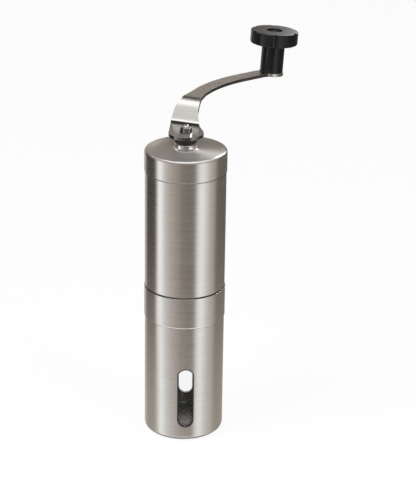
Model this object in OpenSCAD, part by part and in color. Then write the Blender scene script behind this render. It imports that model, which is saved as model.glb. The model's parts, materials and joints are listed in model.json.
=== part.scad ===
// Hand-cranked coffee grinder: a steel hopper tube standing on a grounds cup with two sight windows,
// a ceramic conical burr set on a central shaft, and a curved flat crank with a turning knob.
// Sizes are in millimetres. +Z is up, -Y faces the front window, and the origin is the base's centre.

/* [Body] */
// Outer diameter of the hopper tube, which the cup, the band and the lid follow
body_d = 48; // [46:0.1:54]

/* [Grounds cup] */
// Height of the cup's rim above the base
cup_h = 94.4; // [80:0.1:120]
// Thickness of the cup's wall
cup_wall = 0.8; // [0.6:0.1:1.2]
// Thickness of the cup's floor
cup_floor = 1.2; // [0.8:0.1:2.5]
// Outside rounding of the cup's bottom edge
foot_r = 3; // [2:0.1:5]
// How far the cup lies inside the tube's surface
cup_inset = 0.05; // [0:0.01:0.3]
// Height of the widened band at the cup's mouth
band_h = 19.1; // [17:0.1:26]
// How far the band stands outside the tube's surface
band_proud = 0.35; // [0.2:0.05:0.8]

/* [Sight windows] */
// Width of a window slot
window_w = 10.1; // [6:0.1:16]
// Height of a window slot
window_h = 39.4; // [20:0.1:55]
// Height of the slot's lower end above the base
window_z = 9.2; // [6:0.1:15]
// Width of the gasket's visible rim
gasket_w = 0.7; // [0.4:0.1:1.5]
// How far the gasket stands outside the cup
gasket_proud = 0.15; // [0.05:0.05:0.4]
// Thickness of a clear pane
pane_t = 1.6; // [1:0.1:2.5]
// How far a pane's outer face lies inside the cup's surface
pane_inset = 0.2; // [0:0.05:0.5]
// Angle of the rear window from straight behind the front one
rear_turn = 6; // [0:0.5:15]

/* [Hopper] */
// Thickness of the hopper tube's wall
tube_wall = 0.8; // [0.6:0.1:1.2]
// Height of the tube between the housing's flange and its shoulder under the lid
tube_h = 71.7; // [50:0.1:110]
// Thickness of the housing's flange between tube and cup
flange_t = 0.8; // [0.5:0.1:2]
// How far the flange lies inside the tube's surface
flange_inset = 0.25; // [0.1:0.05:0.4]

/* [Lid] */
// Height of the lid's shell
lid_h = 13.2; // [11:0.1:20]
// Thickness of the lid's skirt
lid_wall = 0.7; // [0.5:0.1:1]
// Thickness of the lid's top
lid_top_t = 0.8; // [0.6:0.1:1.5]
// Outside rounding of the lid's top edge
lid_edge_r = 1.8; // [0.8:0.1:2]
// How far the lid stands outside the tube's surface
lid_proud = 0.37; // [0.2:0.01:0.8]
// Gap between the lid's skirt and the tube's shoulder
lid_gap = 0.3; // [0.2:0.05:0.6]
// Thickness of the liner's flange under the lid's top
liner_t = 2.6; // [2:0.1:4]
// Depth of the liner's plug in the tube's neck
plug_h = 7; // [4:0.1:9]
// Thickness of the liner's plug wall
plug_wall = 1.5; // [1:0.1:3]
// Diameter of the bush's collar on the lid
collar_d = 15.4; // [14.4:0.1:16.4]
// How far the collar's radius shrinks from its foot to its top
collar_taper = 1.5; // [0:0.1:1.6]
// Share of the collar's height that its flared foot takes
collar_flare = 0.3; // [0.2:0.05:0.7]
// Share of the collar's shrinking that its flared foot takes
collar_flare_in = 0.75; // [0.4:0.05:0.9]
// Height of the bush's collar above the lid
collar_h = 3.6; // [2:0.1:6]
// Length of the bush below the liner's flange
bush_tail = 2.3; // [1.8:0.1:4]

/* [Burr set] */
// Radial depth of the ring burr's outside below the tube's surface
burr_inset = 5.5; // [5:0.1:7]
// Height of the ring burr
burr_h = 18; // [14:0.1:22]
// Wall of the ring burr at its lower edge
burr_wall = 2.5; // [2:0.1:4]
// Radius lost for each millimetre up the grinding cone
burr_taper = 0.28; // [0.2:0.01:0.34]
// Gap between the burrs at rest
burr_gap = 0.5; // [0.3:0.05:0.8]
// How far the cone burr hangs below the ring burr
cone_drop = 0.65; // [0.3:0.05:1]
// Height of the cone burr
cone_h = 19.1; // [16:0.1:24]
// Radius of the cone burr's top edge
cone_top_r = 7.2; // [7:0.1:8]
// Number of feed flutes in the cone burr
cone_flutes = 7; // [4:1:9]
// Number of feed flutes in the ring burr
ring_flutes = 9; // [5:1:12]
// Radius of a feed flute
flute_r = 1.5; // [1:0.1:2]
// Thickness of the retainer ring
retainer_t = 2; // [1.5:0.1:3]
// Number of retainer screws
screw_count = 3; // [2:1:4]
// Shank diameter of a retainer screw
screw_d = 2.5; // [2:0.1:2.6]
// Depth of a retainer screw in the housing
screw_depth = 6; // [4:0.1:7]
// Section diameter of the cup's seal ring
seal_d = 1.5; // [1.2:0.1:1.8]

/* [Drive shaft] */
// Diameter of the shaft
shaft_d = 6; // [5.9:0.1:6.4]
// Diameter of the shaft's threaded end
thread_d = 5; // [4:0.1:5.2]
// Width across flats of the shaft's hexagon
hex_af = 5; // [4:0.1:5.1]
// Length of the shaft's hexagon
hex_len = 14.8; // [12:0.1:16]
// Length of the lower bush above its flange
bush_len = 10; // [8:0.1:14]
// Height of the pressure spring at rest
spring_h = 7; // [6:0.1:10]
// Wire diameter of the pressure spring
wire_d = 0.9; // [0.7:0.1:1.1]
// Turns of the pressure spring
spring_turns = 3.5; // [2.5:0.5:4]
// Diameter of the drive pin
drive_pin_d = 2; // [1.6:0.1:2.2]
// Travel of the cone burr below its place at rest
burr_travel = 1.2; // [0.5:0.1:1.5]
// Travel of the cone burr above its place at rest
burr_rise = 0.4; // [0.2:0.1:0.6]

/* [Adjuster] */
// Diameter of the adjuster dial over its lobes
dial_d = 25; // [22:0.1:28]
// Height of the adjuster dial
dial_h = 8; // [6:0.1:12]
// Number of finger scallops round the dial
dial_scallops = 8; // [6:1:12]
// Width across flats of the adjuster nut
nut_af = 8; // [7:0.1:10]
// Height of the adjuster nut
nut_h = 4; // [3:0.1:5]

/* [Crank] */
// Turn of the crank about the shaft, measured from +X to the riser
crank_heading = 64.6; // [-180:0.1:180]
// Diameter of the crank's hub plate
hub_d = 20.6; // [17:0.1:26]
// Thickness of the crank's steel
arm_t = 2; // [1.5:0.1:3]
// Distance from the shaft to the foot of the riser
riser_x = 15.3; // [13:0.1:20]
// Horizontal run of the riser
riser_run = 9; // [6:0.1:14]
// Height of the riser
riser_h = 13; // [8:0.1:20]
// Sideways offset of the arm from the shaft
arm_offset = 7.2; // [2:0.1:9]
// Sideways bow of the riser at half its run
riser_bow = 0.9; // [0:0.1:2]
// Width of the arm at the foot of the riser
riser_w = 17.9; // [14:0.1:20]
// Width of the arm at the head of the riser
head_w = 12; // [10.5:0.1:14]
// Width of the arm along its curve
arm_w = 9.3; // [8:0.1:10.4]
// Straight length of the arm between the riser's head and the curve
arm_lead = 12.7; // [8:0.1:20]
// Radius of the arm's curve in plan
curve_r = 78.3; // [50:0.1:120]
// Turn of the arm along its curve, in degrees
curve_sweep = 31; // [20:0.1:45]
// Straight length of the arm between the curve and the tip's bend
tip_lead = 13.3; // [4:0.1:20]
// Radius of the downward bend before the tip
tip_bend_r = 40; // [30:1:100]
// Downward bend of the tip, in degrees
tip_tilt = 4.3; // [1:0.1:8]
// Length of the tip from its bend to the knob's axis
tip_len = 7.8; // [5:0.1:12]
// Diameter of the round pad under the knob
pad_d = 15; // [14:0.1:18]
// Diameter of the drive socket's barrel
socket_d = 9; // [8.6:0.1:9.2]
// Length of the drive socket below the hub plate
socket_len = 15.5; // [14:0.1:17]
// Diameter of the black sleeve under the hub plate
sleeve_d = 13; // [12:0.1:16]
// Height of the black sleeve
sleeve_h = 3.9; // [3:0.1:6]
// Width across flats of the socket's boss in the hub plate
boss_af = 5; // [4.6:0.1:5.1]
// Diameter of the socket's stud
stud_d = 4; // [3:0.1:4.4]
// Width across flats of the cap nut
cap_af = 6.8; // [6.1:0.1:9]
// Height of the cap nut's hexagon
cap_hex_h = 3.2; // [2.5:0.1:4]
// Height of the cap nut's dome
cap_dome_h = 1.7; // [1.5:0.1:3]

/* [Knob] */
// Diameter of the knob's stem
stem_d = 14.2; // [13:0.1:14.6]
// Length of the knob's stem below its disc
stem_h = 17.2; // [10:0.1:22]
// Diameter of the knob's disc
disc_d = 29.4; // [26:0.1:36]
// Thickness of the knob's disc
disc_h = 8.2; // [5:0.1:10]
// Number of scallops round the disc
knob_scallops = 6; // [5:1:9]
// Depth of a scallop in the disc's rim
scallop_depth = 1.2; // [0.6:0.1:1.6]
// Radius of a scallop
scallop_r = 3.2; // [2.5:0.1:4]
// Diameter of the hole in the knob's top
eye_d = 10; // [9.6:0.1:12]
// Depth of the hole in the knob's top
eye_depth = 4; // [3:0.1:5]
// Diameter of the pin that carries the knob
pin_d = 5; // [4:0.1:5.4]
// Outer diameter of the knob's bush
knob_bush_d = 8; // [7.6:0.1:9]
// Thickness of the washer under the knob
washer_t = 0.5; // [0.4:0.1:1]

/* [Fits] */
// Clearance between parts that slide past each other
slide_clear = 0.3; // [0.2:0.05:0.4]
// Radial clearance of a running fit
run_clear = 0.06; // [0.02:0.01:0.1]
// Axial clearance between turning faces
turn_clear = 0.1; // [0.05:0.05:0.2]
// Assembly gap between pieces fixed to each other
fit_gap = 0.05; // [0.02:0.01:0.1]

/* [Hidden] */
$fn = 96;
cut = 1;
steel = [0.76, 0.75, 0.73];
bright_steel = [0.85, 0.85, 0.85];
black = [0.10, 0.10, 0.11];
ceramic = [0.93, 0.92, 0.88];
rubber = [0.06, 0.06, 0.06];
bronze = [0.66, 0.47, 0.24];
clear = [0.85, 0.90, 0.92, 0.4];

// Cup
cup_r = body_d / 2 - cup_inset;
cup_in_r = cup_r - cup_wall;
band_r = body_d / 2 + band_proud;
band_in_r = band_r - cup_wall;
band_step = band_r - cup_r;
band_z = cup_h - band_h;

// Hopper tube, its necked mouth and the lid over it
tube_r = body_d / 2;
tube_in_r = tube_r - tube_wall;
tube_z = cup_h + flange_t;
shoulder_z = tube_z + tube_h;
lid_r = body_d / 2 + lid_proud;
lid_in_r = lid_r - lid_wall;
neck_r = lid_in_r - slide_clear;
neck_in_r = neck_r - tube_wall;
lid_z = shoulder_z + lid_gap;
lid_top_z = lid_z + lid_h;
lid_under_z = lid_top_z - lid_top_t;
neck_top_z = lid_under_z - liner_t;
plug_r = neck_in_r - slide_clear;
collar_z = lid_top_z + collar_h;
collar_edge = 0.4;
collar_lip = 0.3;
collar_top_r = collar_d / 2 - collar_taper;
collar_flare_r = collar_d / 2 - collar_flare_in * collar_taper;
collar_flare_z = lid_top_z + collar_flare * collar_h;
bush_wall = 1;
socket_r = socket_d / 2;
bush_in_r = socket_r + run_clear;
bush_r = bush_in_r + bush_wall;
clip_t = 0.8;
clip_groove = 0.5;
clip_reach = 3;
// Half width of a clip's mouth, as a part of its inner radius
clip_mouth = 0.8;
bush_groove_r = bush_r - clip_groove;
bush_bottom_z = neck_top_z - bush_tail;

// Burr housing and ring burr
spigot_clear = 1.2;
spigot_r = band_in_r - slide_clear;
spigot_z = band_z + spigot_clear;
spigot_lip = 1.25;
recess_r = spigot_r - spigot_lip;
flange_r = tube_r - flange_inset;
sleeve_in_tube_r = tube_in_r - fit_gap;
ring_r = body_d / 2 - burr_inset;
pocket_r = ring_r + fit_gap;
ring_z = spigot_z + retainer_t;
ring_top_z = ring_z + burr_h;
ring_seat = 4.5;
throat_r = pocket_r - ring_seat;
throat_h = 2;
ring_mouth_h = 4;
mouth_r = ring_r - burr_wall;
retainer_lip = 1.7;
retainer_in_r = pocket_r - retainer_lip;
screw_circle_r = (pocket_r + recess_r) / 2;
screw_head_lip = 0.6;
screw_head_r = screw_d / 2 + screw_head_lip;
screw_head_h = 1.2;
seal_r = band_in_r - run_clear - seal_d / 2;
seal_raise = 3;
seal_z = (spigot_z + cup_h) / 2 + seal_raise;
groove_play = 0.2;
groove_h = seal_d + groove_play;

// Cone burr, its spring and the bush above it
shaft_r = shaft_d / 2;
shaft_bore_r = shaft_r + run_clear;
cone_z = ring_z - cone_drop;
cone_top_z = cone_z + cone_h;
cone_bend_h = 8.6;
flute_lift = 0.6;
core_r = 6;
core_foot_r = 9.5;
core_foot_h = 2;
pin_half = 5;
pin_play = 0.2;
pin_z = cone_top_z - pin_play - burr_travel - drive_pin_d / 2;
pin_slot_h = burr_travel + burr_rise + drive_pin_d + 2 * pin_play;
pin_slot_w = drive_pin_d + 2 * run_clear;
plain_washer_t = 0.6;
spring_z = cone_top_z + plain_washer_t;
spring_top_z = spring_z + spring_h;
spring_clear = 1.1;
spring_r = shaft_r + wire_d / 2 + spring_clear;
thrust_z = spring_top_z + plain_washer_t;
bush_flange_t = 1;
bush_flange_r = 6.5;
bush_z = thrust_z + turn_clear;
bush_barrel_wall = 1.7;
bush_barrel_r = shaft_bore_r + bush_barrel_wall;
hub_z = bush_z + bush_flange_t;
bush_top_z = hub_z + bush_len;
hub_wall = 2.2;
hub_r = bush_barrel_r + fit_gap + hub_wall;
arm_count = 3;
arm_thick = 4;
arm_margin = 1.2;
funnel_rise = 1.7;
funnel_top_z = bush_top_z + funnel_rise;
funnel_lip = 0.7;

// Crank stack on the axis
sleeve_z = collar_z + slide_clear;
hub_plate_z = sleeve_z + sleeve_h;
hub_top_z = hub_plate_z + arm_t;
socket_web = 1.2;
shaft_top_z = hub_plate_z - socket_web;
hex_z = shaft_top_z - hex_len;
socket_z = hub_plate_z - socket_len;
cap_bore_rise = 0.3;
cap_bore_h = cap_hex_h + cap_bore_rise;
cap_dome_inset = 0.2;

// Adjuster and the shaft's lower end
dial_top_z = cone_z - turn_clear;
dial_z = dial_top_z - dial_h;
shaft_end_inset = 0.5;
shaft_end_z = dial_z + shaft_end_inset;
thread_top_z = cone_z + burr_rise + turn_clear;
nut_z = dial_top_z - nut_h;
shaft_clip_z = bush_top_z + turn_clear;
shaft_clip_reach = 2.3;
shaft_clip_r = shaft_r + shaft_clip_reach;
dial_scallop_r = 3.4;
dial_scallop_depth = 1.3;

// Crank arm in plan: the hub is at the origin and the riser runs along X
riser_head_x = riser_x + riser_run;
curve_x = riser_head_x + arm_lead;
curve_steps = 16;
hub_bite = 0.15;
arm_mid_z = hub_top_z + riser_h - arm_t / 2;
arm_span = curve_x + curve_r;
// Distance from the curve's end to the pad's centre, in plan
pad_x = tip_lead + tip_bend_r * sin(tip_tilt) + tip_len * cos(tip_tilt);
bend_steps = 6;

// Knob stack along its own axis, measured from the pad's top
knob_z = washer_t + turn_clear;
disc_z = knob_z + stem_h;
knob_top_z = disc_z + disc_h;
eye_z = knob_top_z - eye_depth;
pin_bore_r = pin_d / 2 + run_clear;
pin_head_gap = 0.6;
pin_head_r = eye_d / 2 - pin_head_gap;
pin_head_round = 0.6;
pin_head_h = 2.2;
pin_head_z = eye_z + slide_clear;
pin_foot_r = 3.8;
pin_foot_h = 1.3;
washer_inset = 0.5;
disc_top_r = 0.8;
disc_under_r = 1.2;
// Direction of the scallop that faces the front of the body
scallop_heading = -92.9;

// Circumscribed radius of a hexagon from its width across flats
function hex_r(af) = af / sqrt(3);

// Ring standing on the plane z = 0
module ring(r_out, r_in, h) {
    difference() {
        cylinder(r = r_out, h = h);
        translate([0, 0, -cut])
            cylinder(r = r_in, h = h + 2 * cut);
    }
}

// Hexagonal bar standing on the plane z = 0
module hex_bar(af, h) {
    cylinder(r = hex_r(af), h = h, $fn = 6);
}

// Copies its child evenly round the Z axis
module around(count) {
    for (i = [0 : count - 1])
        rotate([0, 0, i * 360 / count])
            children();
}

// Turns a child from the front window's place to the rear one's
module to_rear() {
    rotate([0, 0, 180 - rear_turn])
        children();
}

// Slot outline with round ends, standing on the X axis
module slot_outline(w, h) {
    translate([-w / 2, w / 2])
        square([w, h - w]);
    for (y = [w / 2, h - w / 2])
        translate([0, y])
            circle(d = w);
}

// Window-shaped bar that runs from the axis to the front, narrowed by a margin all round
module window_bar(margin) {
    translate([0, 0, window_z + margin])
        rotate([90, 0, 0])
            linear_extrude(height = body_d)
                slot_outline(window_w - 2 * margin, window_h - 2 * margin);
}

// Cup: a rounded pot whose mouth steps out into the band
module grounds_cup() {
    in_fillet = foot_r - cup_wall;
    color(steel)
        difference() {
            rotate_extrude()
                difference() {
                    union() {
                        square([cup_r - foot_r, band_z]);
                        translate([0, foot_r])
                            square([cup_r, band_z - foot_r]);
                        translate([cup_r - foot_r, foot_r])
                            circle(r = foot_r);
                        polygon([[0, band_z], [cup_r, band_z], [band_r, band_z + band_step],
                                 [band_r, cup_h], [0, cup_h]]);
                    }
                    translate([0, cup_floor])
                        square([cup_in_r - in_fillet, cup_h]);
                    translate([0, cup_floor + in_fillet])
                        square([cup_in_r, band_z + band_step - cup_floor - in_fillet]);
                    translate([cup_in_r - in_fillet, cup_floor + in_fillet])
                        circle(r = in_fillet);
                    polygon([[0, band_z + band_step], [cup_in_r, band_z + band_step],
                             [band_in_r, band_z + 2 * band_step], [band_in_r, cup_h + cut],
                             [0, cup_h + cut]]);
                    translate([-2 * body_d, -cut])
                        square([2 * body_d, cup_h + 3 * cut]);
                }
            window_bar(0);
            to_rear()
                window_bar(0);
        }
}

// Clear pane in the front slot
module window_pane() {
    color(clear)
        intersection() {
            translate([0, 0, window_z - cut])
                ring(cup_r - pane_inset, cup_r - pane_inset - pane_t, window_h + 2 * cut);
            window_bar(gasket_w);
        }
}

module front_window() {
    window_pane();
}

module rear_window() {
    to_rear()
        window_pane();
}

// Rubber rim between the front slot and its pane
module window_gasket() {
    color(rubber)
        intersection() {
            translate([0, 0, window_z - cut])
                ring(cup_r + gasket_proud, cup_r - pane_inset - pane_t, window_h + 2 * cut);
            difference() {
                window_bar(0);
                window_bar(gasket_w);
            }
        }
}

module front_gasket() {
    window_gasket();
}

module rear_gasket() {
    to_rear()
        window_gasket();
}

// Steel tube with a necked mouth
module hopper_tube() {
    neck_in = tube_in_r - neck_in_r;
    neck_start = shoulder_z - tube_wall;
    color(steel)
        rotate_extrude()
            polygon([[tube_in_r, tube_z], [tube_r, tube_z], [tube_r, shoulder_z], [neck_r, shoulder_z],
                     [neck_r, neck_top_z], [neck_in_r, neck_top_z], [neck_in_r, neck_start],
                     [tube_in_r, neck_start - neck_in]]);
}

// Black moulding: spigot, flange, funnel, and a hub on three arms
module burr_housing() {
    color(black)
        difference() {
            union() {
                rotate_extrude()
                    polygon([[recess_r, spigot_z], [spigot_r, spigot_z], [spigot_r, cup_h],
                             [flange_r, cup_h], [flange_r, tube_z], [sleeve_in_tube_r, tube_z],
                             [sleeve_in_tube_r, funnel_top_z],
                             [sleeve_in_tube_r - funnel_lip, funnel_top_z],
                             [throat_r, ring_top_z + throat_h], [throat_r, ring_top_z],
                             [pocket_r, ring_top_z], [pocket_r, ring_z], [recess_r, ring_z]]);
                translate([0, 0, hub_z])
                    cylinder(r = hub_r, h = bush_len);
                around(arm_count)
                    translate([0, -arm_thick / 2, hub_z + arm_margin])
                        cube([sleeve_in_tube_r - arm_margin, arm_thick, bush_len - 2 * arm_margin]);
            }
            translate([0, 0, hub_z - cut])
                cylinder(r = bush_barrel_r + fit_gap, h = bush_len + 2 * cut);
            translate([0, 0, seal_z - groove_h / 2])
                ring(spigot_r + cut, seal_r - seal_d / 2 - fit_gap, groove_h);
            around(screw_count)
                translate([screw_circle_r, 0, ring_z - cut])
                    cylinder(d = screw_d, h = screw_depth + cut + fit_gap);
        }
}

// Flanged bush that carries the shaft above the burrs
module lower_bush() {
    color(bronze)
        rotate_extrude()
            polygon([[shaft_bore_r, bush_z], [bush_flange_r, bush_z], [bush_flange_r, hub_z],
                     [bush_barrel_r, hub_z], [bush_barrel_r, bush_top_z], [shaft_bore_r, bush_top_z]]);
}

// Ring burr with a wide mouth above and a grinding cone below
module outer_burr() {
    waist_z = ring_top_z - ring_mouth_h;
    waist_r = mouth_r - burr_taper * (burr_h - ring_mouth_h);
    slope = atan(burr_taper);
    color(ceramic)
        difference() {
            rotate_extrude()
                polygon([[mouth_r, ring_z], [ring_r, ring_z], [ring_r, ring_top_z],
                         [throat_r, ring_top_z], [waist_r, waist_z]]);
            around(ring_flutes)
                translate([waist_r, 0, waist_z])
                    rotate([0, slope, 0])
                        translate([0, 0, -burr_h / 2])
                            cylinder(r = flute_r, h = burr_h);
        }
}

// Ring under the ring burr, flush in the housing
module burr_retainer() {
    color(black)
        translate([0, 0, spigot_z])
            difference() {
                ring(recess_r - fit_gap, retainer_in_r, retainer_t);
                around(screw_count)
                    translate([screw_circle_r, 0, -cut])
                        cylinder(d = screw_d + 2 * fit_gap, h = retainer_t + 2 * cut);
            }
}

module retainer_screws() {
    color(bright_steel)
        around(screw_count)
            translate([screw_circle_r, 0, spigot_z - screw_head_h]) {
                cylinder(r = screw_head_r, h = screw_head_h);
                cylinder(d = screw_d, h = screw_head_h + retainer_t + screw_depth);
            }
}

module cup_seal_ring() {
    color(rubber)
        translate([0, 0, seal_z])
            rotate_extrude()
                translate([seal_r, 0])
                    circle(d = seal_d);
}

// Cap with a rounded top edge and a hole for the bush
module lid_shell() {
    color(steel)
        translate([0, 0, lid_z])
            difference() {
                rotate_extrude()
                    union() {
                        square([lid_r, lid_h - lid_edge_r]);
                        square([lid_r - lid_edge_r, lid_h]);
                        intersection() {
                            translate([lid_r - lid_edge_r, lid_h - lid_edge_r])
                                circle(r = lid_edge_r);
                            square([lid_r, lid_h]);
                        }
                    }
                translate([0, 0, -cut])
                    cylinder(r = lid_in_r, h = lid_h - lid_top_t + cut);
                cylinder(r = bush_r + fit_gap, h = lid_h + cut);
            }
}

// Flanged plug that seats the lid on the tube's mouth
module lid_liner() {
    color(black)
        translate([0, 0, neck_top_z]) {
            ring(lid_in_r - fit_gap, bush_r + fit_gap, liner_t);
            translate([0, 0, -plug_h])
                ring(plug_r, plug_r - plug_wall, plug_h);
        }
}

// Collar bush that guides the crank's socket
module lid_bush() {
    color(bright_steel)
        rotate_extrude()
            polygon([[bush_in_r, bush_bottom_z], [bush_r, bush_bottom_z], [bush_r, neck_top_z - clip_t],
                     [bush_groove_r, neck_top_z - clip_t], [bush_groove_r, neck_top_z],
                     [bush_r, neck_top_z], [bush_r, lid_top_z], [collar_d / 2, lid_top_z],
                     [collar_d / 2, lid_top_z + collar_lip], [collar_flare_r, collar_flare_z],
                     [collar_top_r, collar_z - collar_edge], [collar_top_r - collar_edge, collar_z],
                     [bush_in_r, collar_z]]);
}

// Open spring clip, as thick as its groove
module c_clip(r_out, r_in) {
    difference() {
        ring(r_out, r_in, clip_t);
        translate([0, -r_in * clip_mouth, -cut])
            cube([r_out + cut, 2 * r_in * clip_mouth, clip_t + 2 * cut]);
    }
}

module bush_clip() {
    color(bright_steel)
        translate([0, 0, neck_top_z - clip_t])
            c_clip(bush_r + clip_reach, bush_groove_r + fit_gap);
}

// Shaft: threaded end, plain length with a clip groove and a pin hole, and a hexagon on top
module drive_shaft() {
    color(bright_steel)
        difference() {
            union() {
                translate([0, 0, shaft_end_z])
                    cylinder(d = thread_d, h = thread_top_z - shaft_end_z + cut);
                translate([0, 0, thread_top_z])
                    cylinder(r = shaft_r, h = hex_z - thread_top_z);
                translate([0, 0, hex_z])
                    hex_bar(hex_af, hex_len);
            }
            translate([0, 0, shaft_clip_z])
                ring(shaft_r + cut, shaft_r - clip_groove, clip_t);
            translate([0, 0, pin_z])
                rotate([90, 0, 0])
                    cylinder(d = drive_pin_d, h = 2 * shaft_d, center = true);
        }
}

module shaft_clip() {
    color(bright_steel)
        translate([0, 0, shaft_clip_z])
            c_clip(shaft_clip_r, shaft_r - clip_groove + fit_gap);
}

module thrust_washer() {
    color(bronze)
        translate([0, 0, spring_top_z])
            ring(bush_flange_r, shaft_bore_r, plain_washer_t);
}

// Cross pin that turns the burr carrier
module drive_pin() {
    color(bright_steel)
        translate([0, 0, pin_z])
            rotate([90, 0, 0])
                cylinder(d = drive_pin_d, h = 2 * pin_half, center = true);
}

// Points of the spring's centre line, one every few degrees
spring_rings = 16;
spring_sides = 8;
spring_steps = spring_turns * spring_rings;
spring_rise = spring_h - wire_d - 2 * fit_gap;
function spring_angle(i) = i * 360 / spring_rings;
function spring_point(i) = [
    spring_r * cos(spring_angle(i)),
    spring_r * sin(spring_angle(i)),
    spring_z + fit_gap + wire_d / 2 + spring_rise * i / spring_steps
];
// Point on the wire's skin: side j of ring i
function wire_point(i, j) =
    let (a = spring_angle(i), b = j * 360 / spring_sides, r = wire_d / 2 * cos(b))
    spring_point(i) + [r * cos(a), r * sin(a), wire_d / 2 * sin(b)];
spring_skin = [for (i = [0 : spring_steps], j = [0 : spring_sides - 1]) wire_point(i, j)];
function skin(i, j) = i * spring_sides + j % spring_sides;
spring_cells = [for (i = [0 : spring_steps - 1], j = [0 : spring_sides - 1]) [i, j]];
spring_faces = concat(
    [for (c = spring_cells) [skin(c.x, c.y), skin(c.x + 1, c.y), skin(c.x + 1, c.y + 1)]],
    [for (c = spring_cells) [skin(c.x, c.y), skin(c.x + 1, c.y + 1), skin(c.x, c.y + 1)]],
    [for (j = [1 : spring_sides - 2]) [skin(0, 0), skin(0, j), skin(0, j + 1)]],
    [for (j = [1 : spring_sides - 2])
        [skin(spring_steps, 0), skin(spring_steps, j + 1), skin(spring_steps, j)]]
);
spring_gap = min([
    for (i = [0 : spring_steps], k = [i + spring_rings / 2 : 1 : spring_steps])
        norm(spring_point(k) - spring_point(i)) - wire_d
]);
echo(spring_gap = spring_gap);

// Coil spring that presses the cone burr down on the adjuster
module pressure_spring() {
    color(bright_steel)
        polyhedron(points = spring_skin, faces = spring_faces, convexity = 6);
}

// Cone burr: a fine cone below, a steeper feed cone above, with slanting flutes
module inner_burr() {
    foot_cone_r = mouth_r + burr_taper * cone_drop - burr_gap;
    bend_r = foot_cone_r - burr_taper * cone_bend_h;
    feed_slope = atan((bend_r - cone_top_r) / (cone_h - cone_bend_h));
    color(ceramic)
        difference() {
            translate([0, 0, cone_z])
                rotate_extrude()
                    polygon([[core_foot_r + fit_gap, 0], [foot_cone_r, 0], [bend_r, cone_bend_h],
                             [cone_top_r, cone_h], [core_r + fit_gap, cone_h],
                             [core_r + fit_gap, core_foot_h], [core_foot_r + fit_gap, core_foot_h]]);
            around(cone_flutes)
                translate([bend_r, 0, cone_z + cone_bend_h])
                    rotate([0, -feed_slope, 0])
                        translate([flute_lift, 0, -flute_r])
                            cylinder(r = flute_r, h = cone_h);
        }
}

// Core of the cone burr, with a slot on top for the drive pin
module burr_carrier() {
    color(black)
        difference() {
            translate([0, 0, cone_z]) {
                cylinder(r = core_foot_r, h = core_foot_h);
                cylinder(r = core_r, h = cone_h);
            }
            translate([0, 0, cone_z - cut])
                cylinder(r = shaft_bore_r, h = cone_h + 2 * cut);
            translate([-pin_slot_w / 2, -core_r - cut, cone_top_z - pin_slot_h])
                cube([pin_slot_w, 2 * (core_r + cut), pin_slot_h + cut]);
        }
}

module spring_washer() {
    color(bright_steel)
        translate([0, 0, cone_top_z])
            ring(core_r, shaft_bore_r, plain_washer_t);
}

// Star dial under the burrs, with a hexagonal pocket for its nut
module adjuster_dial() {
    color(black)
        difference() {
            translate([0, 0, dial_z])
                cylinder(d = dial_d, h = dial_h);
            translate([0, 0, nut_z])
                hex_bar(nut_af + 2 * fit_gap, nut_h + cut);
            translate([0, 0, dial_z - cut])
                cylinder(d = thread_d + 2 * slide_clear, h = dial_h + 2 * cut);
            around(dial_scallops)
                translate([dial_d / 2 + dial_scallop_r - dial_scallop_depth, 0, dial_z - cut])
                    cylinder(r = dial_scallop_r, h = dial_h + 2 * cut);
        }
}

module adjuster_nut() {
    color(bronze)
        translate([0, 0, nut_z])
            difference() {
                hex_bar(nut_af, nut_h);
                translate([0, 0, -cut])
                    cylinder(d = thread_d + 2 * run_clear, h = nut_h + 2 * cut);
            }
}

// Turns the crank's own frame into its place on the shaft
module at_crank() {
    rotate([0, 0, crank_heading])
        children();
}

// Frame of the tip's bend within the crank: X along the arm, Z up, origin at half the steel's thickness
module at_bend() {
    translate(tip_point(tip_lead, 0))
        translate([0, 0, arm_mid_z])
            rotate([0, 0, -curve_sweep])
                children();
}

// Frame of the knob's axis within the crank: X along the tip, Z square to its steel
module at_pin() {
    at_bend()
        translate([tip_bend_r * sin(tip_tilt), 0, tip_bend_r * (cos(tip_tilt) - 1)])
            rotate([0, tip_tilt, 0])
                translate([tip_len, 0, 0])
                    children();
}

// Frame of the knob: origin on the pad's top, Z along the pin
module at_knob() {
    at_crank()
        at_pin()
            translate([0, 0, arm_t / 2])
                children();
}

// Point where a line from p touches a circle round the origin, on its left (1) or right (-1)
function touch(p, r, side) =
    let (a = atan2(p.y, p.x) + side * acos(r / norm(p)))
    r * [cos(a), sin(a)];

// Point of the arm's curve: step i, at a sideways distance from the arm's middle
function curve_point(i, side) =
    let (a = curve_sweep * i / curve_steps)
    [curve_x, arm_offset - curve_r] + (curve_r + side) * [sin(a), cos(a)];

// Point beyond the curve's end, along the straight tip and sideways from its middle
function tip_point(along, side) =
    curve_point(curve_steps, side) + along * [cos(curve_sweep), -sin(curve_sweep)];

// Corner of a bent strip's skin at bend b, between a and c, off its middle line
function mitre(a, b, c, off) =
    let (u = (b - a) / norm(b - a), v = (c - b) / norm(c - b), n = [-u.y, u.x], m = [-v.y, v.x])
    b + off * (n + m) / (1 + n * m);

// Sides of the crank in plan, from its hub to the pad under the knob
module arm_sides() {
    // Each station holds its distance along X, its middle and its width
    stations = [[riser_x, arm_offset, riser_w],
                [(riser_x + riser_head_x) / 2, arm_offset + riser_bow, (riser_w + head_w) / 2],
                [riser_head_x, arm_offset, head_w]];
    left = [for (p = stations) [p[0], p[1] + p[2] / 2]];
    right = [for (p = stations) [p[0], p[1] - p[2] / 2]];
    waist_r = hub_d / 2 - hub_bite;
    polygon(concat(
        [touch(left[0], waist_r, 1)], left,
        [for (i = [0 : curve_steps]) curve_point(i, arm_w / 2)],
        [tip_point(pad_x, arm_w / 2), tip_point(pad_x, -arm_w / 2)],
        [for (i = [curve_steps : -1 : 0]) curve_point(i, -arm_w / 2)],
        [for (i = [len(right) - 1 : -1 : 0]) right[i]], [touch(right[0], waist_r, -1), [0, 0]]
    ));
}

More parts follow.
